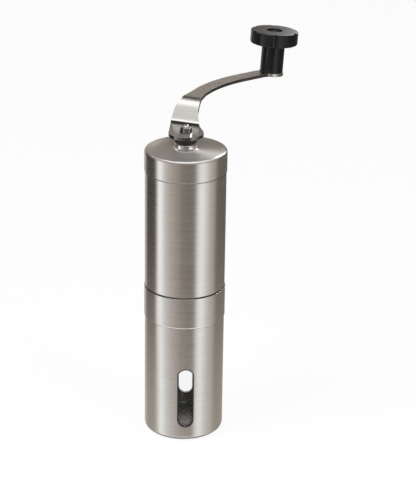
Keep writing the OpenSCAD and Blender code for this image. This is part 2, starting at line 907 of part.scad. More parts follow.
// Columns over the crank's plan, taller than the crank
module arm_blank() {
    tall = arm_mid_z + arm_t;
    cylinder(d = hub_d, h = tall);
    linear_extrude(height = tall)
        arm_sides();
    translate(tip_point(pad_x, 0))
        cylinder(d = pad_d, h = tall);
}

// Side view of the crank: hub plate, riser and outer plate, as one bent strip of steel
module arm_profile() {
    hub_mid_z = hub_plate_z + arm_t / 2;
    bends = [[-arm_span, hub_mid_z], [riser_x, hub_mid_z],
             [riser_head_x, arm_mid_z], [arm_span, arm_mid_z]];
    function strip_side(off) = [
        bends[0] + [0, off],
        mitre(bends[0], bends[1], bends[2], off),
        mitre(bends[1], bends[2], bends[3], off),
        bends[3] + [0, off]
    ];
    under = strip_side(-arm_t / 2);
    polygon(concat(strip_side(arm_t / 2), [for (i = [len(under) - 1 : -1 : 0]) under[i]]));
}

// Side view of the arm's end: level up to the bend, then sloping down through the tip
module tip_profile() {
    function bend_point(i, r) =
        let (a = tip_tilt * i / bend_steps)
        [r * sin(a), r * cos(a) - tip_bend_r];
    function end_point(r) =
        bend_point(bend_steps, r) + (tip_len + pad_d) * [cos(tip_tilt), -sin(tip_tilt)];
    top_r = tip_bend_r + arm_t / 2;
    under_r = tip_bend_r - arm_t / 2;
    polygon(concat([[-arm_span, arm_t / 2]], [for (i = [0 : bend_steps]) bend_point(i, top_r)],
                   [end_point(top_r), end_point(under_r)],
                   [for (i = [bend_steps : -1 : 0]) bend_point(i, under_r)], [[-arm_span, -arm_t / 2]]));
}

// Space beyond the middle of the straight length before the tip's bend
module beyond_lead() {
    at_bend()
        translate([-tip_lead / 2, -arm_span, -arm_span])
            cube(2 * arm_span);
}

// Flat steel crank: a sickle-shaped blank with a joggle near the hub and a bent tip
module crank_arm() {
    color(steel)
        at_crank()
            difference() {
                intersection() {
                    union() {
                        difference() {
                            rotate([90, 0, 0])
                                linear_extrude(height = 2 * arm_span, center = true)
                                    arm_profile();
                            beyond_lead();
                        }
                        intersection() {
                            at_bend()
                                rotate([90, 0, 0])
                                    linear_extrude(height = 2 * arm_span, center = true)
                                        tip_profile();
                            beyond_lead();
                        }
                    }
                    union() {
                        arm_blank();
                    }
                }
                translate([0, 0, hub_plate_z - cut])
                    hex_bar(boss_af + 2 * fit_gap, arm_t + 2 * cut);
                at_pin()
                    cylinder(d = pin_d + 2 * fit_gap, h = 2 * arm_t, center = true);
            }
}

// Low cap nut that clamps the crank on the socket's stud
module cap_nut() {
    dome_r = cap_af / 2 - cap_dome_inset;
    color(bright_steel)
        translate([0, 0, hub_top_z])
            at_crank()
                difference() {
                    union() {
                        hex_bar(cap_af, cap_hex_h);
                        translate([0, 0, cap_hex_h])
                            rotate_extrude()
                                intersection() {
                                    translate([0, cap_dome_h - dome_r])
                                        circle(r = dome_r);
                                    square([dome_r, cap_dome_h]);
                                }
                    }
                    translate([0, 0, -cut])
                        cylinder(d = stud_d + 2 * fit_gap, h = cap_bore_h + cut);
                }
}

// Socket that drops over the shaft's hexagon, with the boss and stud that carry the arm
module drive_socket() {
    color(bright_steel)
        at_crank()
            difference() {
                union() {
                    translate([0, 0, socket_z])
                        cylinder(r = socket_r, h = socket_len);
                    translate([0, 0, hub_plate_z])
                        hex_bar(boss_af, arm_t - fit_gap);
                    translate([0, 0, hub_plate_z])
                        cylinder(d = stud_d, h = arm_t + cap_bore_h - fit_gap);
                }
                rotate([0, 0, -crank_heading])
                    translate([0, 0, socket_z - cut])
                        hex_bar(hex_af + 2 * run_clear, shaft_top_z - socket_z + cut);
            }
}

// Black sleeve between the lid's collar and the hub plate
module socket_sleeve() {
    color(black)
        translate([0, 0, sleeve_z])
            ring(sleeve_d / 2, socket_r + fit_gap, sleeve_h);
}

// Headed pin through the knob, peened under the pad
module knob_pin() {
    color(bright_steel)
        at_knob() {
            translate([0, 0, -arm_t - pin_foot_h]) {
                cylinder(r1 = pin_foot_r - pin_foot_h / 2, r2 = pin_foot_r, h = pin_foot_h);
                cylinder(d = pin_d, h = pin_foot_h + arm_t + pin_head_z + pin_head_h / 2);
            }
            translate([0, 0, pin_head_z])
                rotate_extrude()
                    polygon([[0, 0], [pin_head_r, 0], [pin_head_r, pin_head_h * pin_head_round],
                             [pin_head_r * pin_head_round, pin_head_h], [0, pin_head_h]]);
        }
}

module knob_washer() {
    color(black)
        at_knob()
            ring(stem_d / 2 - washer_inset, pin_d / 2 + fit_gap, washer_t);
}

// Mushroom knob with a scalloped rim and a hole over the pin's head
module grip_knob() {
    disc_r = disc_d / 2;
    color(black)
        at_knob()
            difference() {
                rotate_extrude() {
                    translate([0, knob_z])
                        square([stem_d / 2, stem_h + disc_under_r]);
                    translate([0, disc_z])
                        square([disc_r - disc_under_r, disc_h - disc_top_r]);
                    translate([0, disc_z + disc_under_r])
                        square([disc_r, disc_h - disc_under_r - disc_top_r]);
                    translate([0, disc_z + disc_h / 2])
                        square([disc_r - disc_top_r, disc_h / 2]);
                    intersection() {
                        union() {
                            translate([disc_r - disc_under_r, disc_z + disc_under_r])
                                circle(r = disc_under_r);
                            translate([disc_r - disc_top_r, knob_top_z - disc_top_r])
                                circle(r = disc_top_r);
                        }
                        translate([0, disc_z])
                            square([disc_r, disc_h]);
                    }
                }
                translate([0, 0, knob_z - cut])
                    cylinder(d = knob_bush_d + 2 * fit_gap, h = knob_top_z);
                translate([0, 0, eye_z])
                    cylinder(d = eye_d, h = eye_depth + cut);
                rotate([0, 0, scallop_heading - crank_heading + curve_sweep])
                    around(knob_scallops)
                        translate([disc_r + scallop_r - scallop_depth, 0, disc_z - cut])
                            cylinder(r = scallop_r, h = disc_h + 2 * cut);
            }
}

module knob_bush() {
    color(bronze)
        at_knob()
            translate([0, 0, knob_z])
                ring(knob_bush_d / 2, pin_bore_r, eye_z - knob_z);
}

grounds_cup();
front_window();
rear_window();
front_gasket();
rear_gasket();
hopper_tube();
burr_housing();
lower_bush();
outer_burr();
burr_retainer();
retainer_screws();
cup_seal_ring();
lid_shell();
lid_liner();
lid_bush();
bush_clip();
drive_shaft();
shaft_clip();
thrust_washer();
drive_pin();
pressure_spring();
inner_burr();
burr_carrier();
spring_washer();
adjuster_dial();
adjuster_nut();
crank_arm();
cap_nut();
drive_socket();
socket_sleeve();
knob_pin();
knob_washer();
grip_knob();
knob_bush();
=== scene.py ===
"""Looks of a slim hand coffee grinder: brushed steel shells, a bent steel crank and a black knob."""
import json
import math

import bmesh
import bpy
from mathutils import Matrix, Vector


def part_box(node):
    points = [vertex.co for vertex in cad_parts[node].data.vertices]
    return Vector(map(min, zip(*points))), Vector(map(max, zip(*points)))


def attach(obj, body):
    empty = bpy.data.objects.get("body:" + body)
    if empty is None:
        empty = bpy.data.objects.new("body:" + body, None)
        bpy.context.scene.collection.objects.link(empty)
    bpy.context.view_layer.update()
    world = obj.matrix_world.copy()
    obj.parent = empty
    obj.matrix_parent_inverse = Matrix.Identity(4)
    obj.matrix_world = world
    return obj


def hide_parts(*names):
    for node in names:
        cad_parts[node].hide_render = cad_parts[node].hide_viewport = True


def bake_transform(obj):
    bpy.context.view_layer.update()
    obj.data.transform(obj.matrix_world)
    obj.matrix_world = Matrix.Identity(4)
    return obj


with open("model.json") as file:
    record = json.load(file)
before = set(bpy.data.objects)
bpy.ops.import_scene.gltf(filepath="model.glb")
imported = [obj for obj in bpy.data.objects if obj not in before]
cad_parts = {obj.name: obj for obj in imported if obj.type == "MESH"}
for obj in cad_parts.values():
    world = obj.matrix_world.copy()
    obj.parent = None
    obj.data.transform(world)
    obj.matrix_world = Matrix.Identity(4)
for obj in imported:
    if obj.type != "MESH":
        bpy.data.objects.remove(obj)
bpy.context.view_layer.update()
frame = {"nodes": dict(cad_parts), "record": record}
nodes = frame["nodes"]
scene = bpy.context.scene

MM = 0.001

# Sizes of the turned shells and the crank, in millimetres
STEEL_WALL = 0.8
CUP_RADIUS, CUP_FLOOR, CUP_FOOT_ROUND = 23.95, 1.2, 3.0
BAND_FOOT, BAND_STEP = 75.3, 0.4
TUBE_SHOULDER, NECK_RADIUS = 166.9, 23.37
LID_WALL, LID_TOP, LID_ROUND, LID_HOLE = 0.7, 0.8, 1.8, 5.61
SLOT_WIDTH, SLOT_HEIGHT, SLOT_FOOT = 10.1, 39.4, 9.2
REAR_TURN = math.radians(180 - 6)
GASKET_WIDTH, GASKET_DEPTH, GASKET_PROUD = 0.7, 1.95, 0.15
GASKET_CORNER, GASKET_CORNER_STEPS = 0.2, 3
# Rounding of the rims, the slots' edges and the seams, of the neck's root, the inside corners and the
# hidden edges, and of three smaller pieces
EDGE_ROUND, SLOT_EDGE_ROUND, SEAM_ROUND = 0.25, 0.375, 0.35
NECK_ROUND, INSIDE_ROUND, FINE_ROUND = 0.1, 0.2, 0.05
COLLAR_ROUND, SLEEVE_ROUND, KNOB_ROUND = 0.3, 0.3, 0.35
EDGE_STEPS = 3
LARGE_FACE_WEIGHT = 90
TURN_STEPS = 160
CORNER_STEPS = 5
SLOT_STEPS = 24
PATH_RADIUS = 1.0
SPRING_WIRE, SPRING_TURNS, SPRING_STEPS, WIRE_STEPS = 0.9, 3.5, 48, 16
HUB_TOP = 190.2
# Within this distance of the knob's pin the crank's cut edges keep only this share of their darkness,
# which is partly painted shade, so that they stay light there as a painted highlight
PAD_REACH, PAD_EDGE_SHADE = 10.875, 0.1
HEAD_BEND, FOOT_BEND, BEND_STEPS, FOLD_HALF_LENGTH = 4.0, 1.8, 8, 20
NUT_HEX, NUT_TAPER = 3.2, 0.148
NUT_CORNER, NUT_CORNER_STEPS, NUT_EDGE = 0.5, 5, 0.15
# Least angles in degrees of a crease, an outline and a fold, and the angle below which faces are one
CREASE_DEG, OUTLINE_DEG, FOLD_DEG, FLAT_DEG = 35, 50, 20, 0.5
# Upward share of a face's direction: a sheet's upper or lower side has more than the first, a cut edge
# less than the second
SHEET_FACE, CUT_FACE = 0.3, 0.35
# Upward share of an edge's length from which it stands upright
UPRIGHT_SHARE = 0.9
# Points nearer than this are one, and on the knob nearer than the second
JOIN_REACH, KNOB_JOIN_REACH = 0.001, 0.02

# Camera: where the photographer stood, and the directions of the picture's right, up and back
CAMERA_PLACE = (-0.04856, -0.95856, 0.51414)
CAMERA_RIGHT = (0.99815, -0.05915, 0.01393)
CAMERA_UP = (0.00979, 0.38275, 0.92380)
CAMERA_BACK = (-0.05997, -0.92196, 0.38262)
LENS_MM = 125.51
CAMERA_TURN = math.radians(-2.9)

# Light tent round the object: its size, its bright top and how bright each wall panel is
TENT_RADIUS = 0.26
TENT_FOOT, TENT_TOP, TENT_SEGMENTS = -0.6, 0.62, 96
TENT_BRIGHTEST = 1.5
TENT_ROOF = 2.4
TENT_CEILING = 0.34
TENT_SHADE, TENT_SCREEN, TENT_BACK_TOP = 0.08, 0.92, 0.06
TENT_UNDER = 1.7
# Direction from the camera's side in degrees, positive to the right, and the panel's brightness there,
# level with the hopper and level with the floor
TENT_PANELS = [
    (-180, 0.65, 0.64), (-142, 0.65, 0.64), (-133, 0.08, 0.46), (-88, 0.08, 0.46), (-78, 1.50, 0.74),
    (-70, 1.46, 1.34), (-62, 1.02, 1.26), (-54, 0.72, 0.96), (-38, 0.52, 0.70), (-21, 0.39, 0.52),
    (-8, 0.26, 0.42), (18, 0.22, 0.34), (26, 0.25, 0.37), (35, 1.00, 1.00), (43, 1.28, 1.16),
    (50, 1.22, 1.10), (58, 1.00, 0.86), (68, 0.70, 0.68), (81, 0.52, 0.62), (87, 0.48, 0.58),
    (95, 0.18, 0.42), (168, 0.14, 0.42), (180, 0.40, 0.55),
]
# Cards on the tent's wall: direction in degrees, height, half width and half height in metres, and the
# brightness that they add
TENT_CARDS = [(150, 0.345, 0.06, 0.10, 6.8)]
# Heights in metres between which one zone of the tent passes into the next
FLOOR_ZONE, UNDER_ZONE, WALL_ZONE = (0.04, -0.12), (-0.34, -0.16), (0.28, 0.16)
SCREEN_ZONE, BACK_ZONE = (0.28, 0.35), (0.37, 0.42)
ROOF_ZONE = (TENT_TOP - 0.02, TENT_TOP - 0.01)
# Share of a turn away from the camera's side over which the screen ends
FRONT_ZONE = (0.40, 0.35)
# The dark back of the roof: where it begins going back, and where it ends going sideways
DARK_ROOF_FRONT, DARK_ROOF_SIDE = (-0.02, 0.05), (0.19, 0.13)
# Brightness at which the tent counts as dim, and the change of red, green and blue there
DIM_ZONE, DIM_TINT = (1.0, 0.3), (0.10, -0.02, -0.13)
# Share of a card that is fully bright
CARD_CORE = 0.6

FLOOR_HALF, FLOOR_DROP, FLOOR_GLOW = 3.0, 0.0002, 0.92
AMBIENT = 0.45
# Soft boxes: direction and height in degrees, distance and size in metres, power in watts
LAMPS = {"key_box": (-58, 42, 0.9, 0.6, 7.0), "fill_box": (50, 35, 1.0, 0.6, 4.0)}
LAMP_AIM = (0, 0, 0.1)


class Signal:
    """A node's output; arithmetic on it adds Math nodes to the same tree."""

    def __init__(self, graph, socket):
        self.graph, self.socket = graph, socket

    def math(self, operation, *terms):
        return self.graph.add("ShaderNodeMath", {"operation": operation}, dict(enumerate(terms)))

    def __add__(self, other):
        return self.math("ADD", self, other)

    __radd__ = __add__

    def __sub__(self, other):
        return self.math("SUBTRACT", self, other)

    def __rsub__(self, other):
        return self.math("SUBTRACT", other, self)

    def __mul__(self, other):
        return self.math("MULTIPLY", self, other)

    __rmul__ = __mul__

    def __truediv__(self, other):
        return self.math("DIVIDE", self, other)

    def __rtruediv__(self, other):
        return self.math("DIVIDE", other, self)

    def __pow__(self, other):
        return self.math("POWER", self, other)

    def __rpow__(self, other):
        return self.math("POWER", other, self)


class Graph:
    """A node tree that is filled from Python expressions."""

    def __init__(self, tree):
        self.tree = tree

    @staticmethod
    def pick(sockets, key):
        """A socket by its place, its identifier or its name."""
        if isinstance(key, int):
            return sockets[key]
        return next((socket for socket in sockets if socket.identifier == key), None) or sockets[key]

    def add(self, kind, settings=None, values=None, out=0):
        """Adds a node: its settings first, then its sockets' values or links. Returns its output."""
        node = self.tree.nodes.new(kind)
        for name, value in (settings or {}).items():
            if name == "stops":
                ramp = node.color_ramp.elements
                while len(ramp) < len(value):
                    ramp.new(0.5)
                for stop, (place, colour) in zip(ramp, value):
                    stop.position, stop.color = place, colour
            else:
                setattr(node, name, value)
        for key, value in (values or {}).items():
            self.feed(self.pick(node.inputs, key), value)
        return Signal(self, self.pick(node.outputs, out))

    def feed(self, socket, value):
        """Links a signal to a socket, or sets a plain value on it."""
        if isinstance(value, Signal):
            self.tree.links.new(value.socket, socket)
        else:
            socket.default_value = value


class Finish(Graph):
    """A material: one Principled shader and the patterns that feed it."""

    def __init__(self, name, **constants):
        self.material = bpy.data.materials.new(name)
        self.material.use_nodes = True
        super().__init__(self.material.node_tree)
        self.shader = self.tree.nodes["Principled BSDF"]
        for key, value in constants.items():
            self.set(key.replace("_", " ").title().replace("Ior", "IOR"), value)

    def set(self, socket, value):
        self.feed(self.shader.inputs[socket], value)

    def place(self, scale=(1, 1, 1)):
        """Object coordinates, stretched."""
        at = self.add("ShaderNodeTexCoord", out="Object")
        return self.add("ShaderNodeMapping", values={"Vector": at, "Scale": scale})

    def noise(self, vector, scale, detail, roughness):
        return self.add("ShaderNodeTexNoise", values={
            "Vector": vector, "Scale": scale, "Detail": detail, "Roughness": roughness})

    def between(self, mask, low, high):
        """Plain number that runs from low to high with a mask."""
        return mask * (high - low) + low

    def blend(self, mask, first, second):
        """Colour between two colours."""
        return self.add("ShaderNodeMix", {"data_type": "RGBA"}, {
            "Factor_Float": mask, "A_Color": first, "B_Color": second}, out="Result_Color")

    def window(self, value, low, high):
        """0 below low, 1 above high and a smooth step between."""
        return self.add("ShaderNodeMapRange", {"interpolation_type": "SMOOTHSTEP"}, {
            "Value": value, "From Min": low, "From Max": high})

    def step(self, value, low, high):
        """A window with its limits in millimetres."""
        return self.window(value, low * MM, high * MM)

    def band(self, value, low, low_full, high_full, high):
        """0 below and above a band in millimetres, 1 in its middle and smooth steps between."""
        return self.step(value, low, low_full) * self.step(value, high, high_full)

    def raise_skin(self, height, depth, strength):
        """Bump of a real depth in metres."""
        self.set("Normal", self.add("ShaderNodeBump", values={
            "Height": height, "Distance": depth, "Strength": strength}))


class Tree(Graph):
    """A Geometry Nodes tree with named inputs for its sizes."""

    KINDS = {int: "NodeSocketInt", float: "NodeSocketFloat"}

    def __init__(self, name, **sizes):
        group = bpy.data.node_groups.new(name, "GeometryNodeTree")
        super().__init__(group)
        group.interface.new_socket("Geometry", in_out="INPUT", socket_type="NodeSocketGeometry")
        for label, kind in sizes.items():
            group.interface.new_socket(label, in_out="INPUT", socket_type=self.KINDS[kind])
        group.interface.new_socket("Material", in_out="INPUT", socket_type="NodeSocketMaterial")
        group.interface.new_socket("Geometry", in_out="OUTPUT", socket_type="NodeSocketGeometry")
        self.entry = group.nodes.new("NodeGroupInput")

    def given(self, label):
        return Signal(self, self.entry.outputs[label])

    def close(self, shape):
        """Smooth faces, plain geometry and the material, then the tree's output."""
        smooth = self.add("GeometryNodeSetShadeSmooth", values={"Geometry": shape})
        plain = self.add("GeometryNodeRealizeInstances", values={"Geometry": smooth})
        dressed = self.add("GeometryNodeSetMaterial", values={
            "Geometry": plain, "Material": self.given("Material")})
        self.feed(self.tree.nodes.new("NodeGroupOutput").inputs[0], dressed)
        return self

    def grow(self, name, mesh, **values):
        """The tree's result on a mesh as a plain mesh."""
        holder = add_mesh(name, mesh)
        modifier = holder.modifiers.new(name, "NODES")
        modifier.node_group = self.tree
        for item in self.tree.interface.items_tree:
            if item.in_out == "INPUT" and item.name in values:
                modifier[item.identifier] = values[item.name]
        return bake(holder, name)


def rgb(red, green, blue):
    return (red, green, blue, 1.0)


STEEL_LIGHT, STEEL_DARK = rgb(0.65, 0.635, 0.61), rgb(0.59, 0.575, 0.55)
BRUSH_LINES = 3200.0
# Heights in millimetres over which the cup's painted shade and highlight come and go: painted shade
# round the foot and inside the cup, and painted shade under and a painted highlight on the band's step
FOOT_LINE, SHADED_INSIDE = (2.7, 1.9), (1.1, 1.15)
UNDER_STEP_LINE = (BAND_FOOT - 0.5, BAND_FOOT - 0.3, BAND_FOOT - 0.15, BAND_FOOT)
STEP_LINE = (BAND_FOOT - 0.1, BAND_FOOT, BAND_FOOT + BAND_STEP, BAND_FOOT + BAND_STEP + 0.2)
# The same above the hub's top, for the crank's polished hub, which is also painted darker as painted
# shade, and the painted shade in its lower fold
HUB_ZONE, FOLD_SHADE = (0.5, 0.2), (0.03, 0.12, 0.6, 1.1)
# Depths over which the lid's rounded rim and flat top begin below its top, and the dust and painted
# sheen below the knob's
LID_RIM, LID_FLAT, KNOB_DUST_AND_SHEEN = (LID_ROUND, 0.9 * LID_ROUND), (0.06, 0.02), (0.45, 0.15)
# How far past the cup's bore its painted shade inside ends
BORE_SKIN = (0.05, 0.02)


def turned_steel(name, rough, top=None, bore=None):
    """Stainless steel brushed round its axis, with faint handling marks on it.
    A lid gives the height of its top, a cup the radius of its bore, both in millimetres. A cup also gets
    painted shade round its foot, inside it and under its band's step, and a painted highlight on the
    step."""
    skin = Finish(name, metallic=1.0, anisotropic=0.72, anisotropic_rotation=0.25)
    at = skin.add("ShaderNodeTexCoord", out="Object")
    x, y, z = (skin.add("ShaderNodeSeparateXYZ", values={"Vector": at}, out=axis) for axis in "XYZ")
    radius = (x * x + y * y) ** 0.5

    def brushed(around, lines, roughness):
        """Noise drawn out round the axis."""
        return skin.noise(skin.add("ShaderNodeCombineXYZ", values={
            "X": x * around, "Y": y * around, "Z": (radius - z) * lines}), 1.0, 2.0, roughness)

    grain = brushed(55.0, BRUSH_LINES, 0.6) * 0.7 + brushed(30.0, BRUSH_LINES / 6, 0.5) * 0.3
    marks = skin.noise(skin.place((60, 60, 25)), 1.0, 3.0, 0.6)
    colour = skin.blend(skin.window(grain, 0.3, 0.7), STEEL_DARK, STEEL_LIGHT)
    if bore:
        # A cup's painted shade inside it, under the band's step and round its foot, and a painted
        # highlight on the step
        inside = skin.step(radius, *(bore + past for past in BORE_SKIN)) * skin.step(z, *SHADED_INSIDE)
        colour = skin.blend(skin.band(z, *UNDER_STEP_LINE), colour, rgb(0.30, 0.29, 0.275))
        colour = skin.blend(skin.band(z, *STEP_LINE), colour, rgb(0.92, 0.91, 0.89))
        colour = skin.blend(skin.step(z, *FOOT_LINE), colour, rgb(0.10, 0.095, 0.09))
        colour = skin.blend(inside, colour, rgb(0.15, 0.138, 0.13))
    skin.set("Base Color", colour)
    roughness = (skin.between(skin.window(grain, 0.25, 0.75), rough - 0.03, rough + 0.04)
                 + skin.between(skin.window(marks, 0.45, 0.75), 0.0, 0.03))
    if top:
        # The rounded rim is rougher than the skirt, and the spun flat top more so
        rim, flat = (skin.step(z, *(top - depth for depth in zone)) for zone in (LID_RIM, LID_FLAT))
        roughness = roughness + rim * 0.04 + flat * 0.10
    skin.set("Roughness", roughness)
    skin.raise_skin(grain, 0.000006, 0.6)
    return skin.material


def satin_steel():
    """Crank steel: satin sheet with a soft grain, darker cut edges that are partly painted shade, a
    polished hub painted darker as painted shade and painted shade in its lower fold.
    """
    skin = Finish("satin_steel", metallic=1.0)
    grain = skin.noise(skin.place((3000, 900, 3000)), 1.0, 4.0, 0.6)
    marks = skin.noise(skin.place((80, 80, 80)), 1.0, 3.0, 0.6)
    cut = skin.add("ShaderNodeAttribute", {"attribute_name": "cut_edge"}, out="Fac")
    above_hub = skin.add("ShaderNodeSeparateXYZ", values={
        "Vector": skin.add("ShaderNodeTexCoord", out="Object")}, out="Z") - HUB_TOP * MM
    hub, fold = skin.step(above_hub, *HUB_ZONE), skin.band(above_hub, *FOLD_SHADE)
    sheet = skin.blend(skin.window(grain, 0.3, 0.7), rgb(0.57, 0.555, 0.53), rgb(0.62, 0.605, 0.58))
    # The hub painted darker: painted shade
    sheet = skin.blend(hub, sheet, rgb(0.48, 0.47, 0.445))
    # Painted shade in the lower fold
    sheet = skin.blend(fold, sheet, rgb(0.08, 0.075, 0.07))
    # Cut edges darker: partly their own tone, partly painted shade
    skin.set("Base Color", skin.blend(cut, sheet, rgb(0.16, 0.155, 0.15)))
    skin.set("Roughness", skin.between(skin.window(grain, 0.3, 0.7), 0.26, 0.30)
             + skin.between(skin.window(marks, 0.5, 0.8), 0.0, 0.04) - hub * 0.12)
    skin.raise_skin(grain, 0.000002, 0.5)
    return skin.material


def bright_metal(name, light, dark, rough):
    """Plated or polished metal with faint smears."""
    skin = Finish(name, metallic=1.0)
    smear = skin.noise(skin.place((140, 140, 60)), 1.0, 4.0, 0.6)
    skin.set("Base Color", skin.blend(skin.window(smear, 0.35, 0.7), light, dark))
    skin.set("Roughness", skin.between(skin.window(smear, 0.35, 0.75), rough, rough + 0.08))
    return skin.material


def moulded_black(name, rough, shade=0.012, grain=0.00002, dust_and_sheen_end=None, ior=1.49):
    """Black moulded plastic with a spark texture and a little dust; the end of an axis is painted
    lighter, as dust and a painted sheen.
    """
    skin = Finish(name, ior=ior)
    spark = skin.noise(skin.place(), 2600.0, 2.0, 0.6)
    dust = skin.noise(skin.place(), 130.0, 4.0, 0.65)
    colour = skin.blend(skin.window(dust, 0.5, 0.85), rgb(shade, shade, shade * 1.1),
                        rgb(shade * 2.2, shade * 2.1, shade * 2.0))
    roughness = skin.between(skin.window(dust, 0.35, 0.8), rough, rough + 0.12)
    if dust_and_sheen_end:
        axis, end = dust_and_sheen_end
        height = skin.add("ShaderNodeVectorMath", {"operation": "DOT_PRODUCT"}, {
            0: skin.add("ShaderNodeTexCoord", out="Object"), 1: axis}, out="Value")
        # The knob's top painted lighter: dust and a painted sheen
        dust_and_sheen = skin.step(height, *(end - depth for depth in KNOB_DUST_AND_SHEEN))
        colour = skin.blend(dust_and_sheen, colour, rgb(0.022, 0.021, 0.021))
        roughness = roughness + dust_and_sheen * 0.14
    skin.set("Base Color", colour)
    skin.set("Roughness", roughness)
    skin.raise_skin(spark, grain, 0.7)
    return skin.material


def soft_rubber():
    skin = Finish("soft_rubber", ior=1.5)
    bloom = skin.noise(skin.place(), 420.0, 3.0, 0.6)
    skin.set("Base Color", skin.blend(bloom, rgb(0.010, 0.010, 0.010), rgb(0.026, 0.025, 0.024)))
    skin.set("Roughness", skin.between(bloom, 0.55, 0.78))
    skin.raise_skin(bloom, 0.00003, 0.5)
    return skin.material


def fired_ceramic():
    skin = Finish("fired_ceramic", ior=1.6)
    speck = skin.noise(skin.place(), 900.0, 3.0, 0.7)
    cloud = skin.noise(skin.place(), 90.0, 2.0, 0.5)
    skin.set("Base Color", skin.blend(skin.window(speck, 0.62, 0.75), skin.blend(
        cloud, rgb(0.86, 0.84, 0.79), rgb(0.80, 0.77, 0.70)), rgb(0.55, 0.50, 0.42)))
    skin.set("Roughness", skin.between(speck, 0.35, 0.55))
    skin.raise_skin(speck, 0.00003, 0.4)
    return skin.material


def sintered_bronze():
    skin = Finish("sintered_bronze", metallic=1.0)
    pores = skin.noise(skin.place(), 1500.0, 3.0, 0.7)
    tone = skin.noise(skin.place(), 160.0, 3.0, 0.6)
    skin.set("Base Color", skin.blend(tone, rgb(0.62, 0.42, 0.20), rgb(0.48, 0.31, 0.15)))
    skin.set("Roughness", skin.between(pores, 0.28, 0.48))
    skin.raise_skin(pores, 0.00002, 0.5)
    return skin.material


def clear_pane():
    """Clear plastic with hairline wear."""
    skin = Finish("clear_pane", base_color=rgb(0.97, 0.98, 0.98), transmission_weight=1.0, ior=1.3)
    wear = skin.noise(skin.place((700, 700, 90)), 1.0, 3.0, 0.6)
    skin.set("Roughness", skin.between(skin.window(wear, 0.55, 0.8), 0.02, 0.10))
    return skin.material


def knob_end():
    """The knob's axis and how far along it the knob's top lies, in millimetres."""
    joints = frame["record"]["behaviour"]["joints"]
    axis = Vector(next(joint["axis"] for joint in joints if joint["name"] == "knob_spin"))
    return axis, max(axis.dot(vert.co) for vert in nodes["grip_knob"].data.vertices) / MM


FINISHES = {
    "shell_steel": turned_steel("brushed_shell_steel", 0.25),
    "cup_steel": turned_steel("brushed_cup_steel", 0.25, bore=CUP_RADIUS - STEEL_WALL),
    "lid_steel": turned_steel("brushed_lid_steel", 0.27, top=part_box("lid_shell")[1][2] / MM),
    "crank_steel": satin_steel(),
    "chrome": bright_metal("polished_chrome", rgb(0.80, 0.80, 0.80), rgb(0.70, 0.70, 0.71), 0.07),
    # The nut's chrome: a darker copy of the chrome, painted shade
    "nut_shaded_chrome": bright_metal("dark_chrome", rgb(0.40, 0.40, 0.40), rgb(0.34, 0.34, 0.35), 0.05),
    "knob_black": moulded_black("knob_black", 0.18, shade=0.006, grain=0.000005, dust_and_sheen_end=knob_end(),
                                ior=1.37),
    "housing_black": moulded_black("housing_black", 0.42),
    "rubber": soft_rubber(),
    "ceramic": fired_ceramic(),
    "bronze": sintered_bronze(),
    "pane": clear_pane(),
}
SLOT_FINISH = {
    "brushed_steel": "shell_steel", "bright_steel": "chrome", "black_plastic": "housing_black",
    "ceramic": "ceramic", "rubber": "rubber", "bronze": "bronze", "clear_plastic": "pane",
}
NODE_FINISH = {"crank_arm": "crank_steel", "grip_knob": "knob_black"}


def dress_cad_nodes():
    """Gives every node of the frame its finish."""
    for part in frame["record"]["subparts"]:
        finish = NODE_FINISH.get(part["node"]) or SLOT_FINISH[part["material_slot"]]
        mesh = nodes[part["node"]].data
        mesh.materials.clear()
        mesh.materials.append(FINISHES[finish])


def add_mesh(name, mesh):
    piece = bpy.data.objects.new(name, mesh)
    scene.collection.objects.link(piece)
    return piece


def bake(holder, name):
    """Mesh of an object with its modifiers applied; the object itself goes."""
    view = bpy.context.evaluated_depsgraph_get()
    mesh = bpy.data.meshes.new_from_object(holder.evaluated_get(view), depsgraph=view)
    mesh.name = name
    bpy.data.objects.remove(holder)
    return mesh


def turn_outwards(mesh):
    """Joins doubles and points every face outwards."""
    build = bmesh.new()
    build.from_mesh(mesh)
    bmesh.ops.remove_doubles(build, verts=build.verts, dist=JOIN_REACH * MM)
    bmesh.ops.recalc_face_normals(build, faces=build.faces)
    build.to_mesh(mesh)
    build.free()
    return mesh


def mesh_from(build, name):
    """Plain mesh of a finished bmesh."""
    mesh = bpy.data.meshes.new(name)
    build.to_mesh(mesh)
    build.free()
    return mesh


def even_normals(mesh, name, finish):
    """Smooth shading in which the large faces keep their own direction."""
    mesh.shade_smooth()
    mesh.materials.clear()
    mesh.materials.append(FINISHES[finish])
    holder = add_mesh(name, mesh)
    holder.modifiers.new("large_faces", "WEIGHTED_NORMAL").weight = LARGE_FACE_WEIGHT
    return bake(holder, name)


def place_piece(name, mesh, node, stretch_to=None):
    """Puts a mesh in place of a CAD node, on the node's body, or on no body when another body is given.
    """
    piece = add_mesh(name, mesh)
    record = frame["record"]
    body = next(body for body, names in record["behaviour"]["bodies"].items() if node in names)
    if stretch_to:
        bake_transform(piece)
    else:
        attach(piece, body)
    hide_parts(node)


def shade_and_place(name, mesh, node, finish):
    place_piece(name, even_normals(mesh, name, finish), node)


